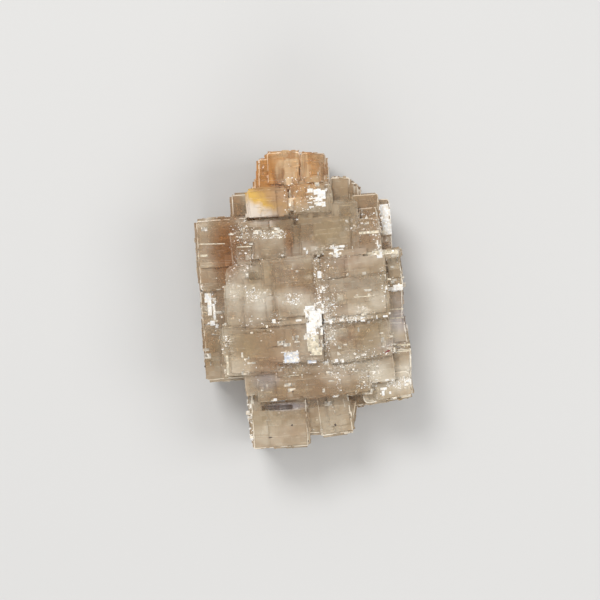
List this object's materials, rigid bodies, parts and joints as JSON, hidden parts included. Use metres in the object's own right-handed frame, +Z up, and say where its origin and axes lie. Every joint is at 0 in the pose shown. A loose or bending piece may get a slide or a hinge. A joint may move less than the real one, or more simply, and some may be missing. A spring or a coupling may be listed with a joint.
{
  "type": "halite crystal specimen",
  "caption": "Blocky mass of intergrown, see-through cubic halite crystals with stepped faces and a stained top, lying on a flat cleavage face.",
  "frame": {"origin": "on the resting surface, under the middle of the specimen's bounding box", "axes": "+X across the specimen, +Y along it towards the stained end, +Z up, out of its best face"},
  "size_m": [0.0504, 0.0686, 0.027],
  "materials": {
    "halite": "smoky beige see-through crystal, glossy on fresh faces and frosted where worn, stained rusty orange at one end"
  },
  "bodies": {
    "root": {"halite_crystal": "halite"}
  },
  "joints": []
}
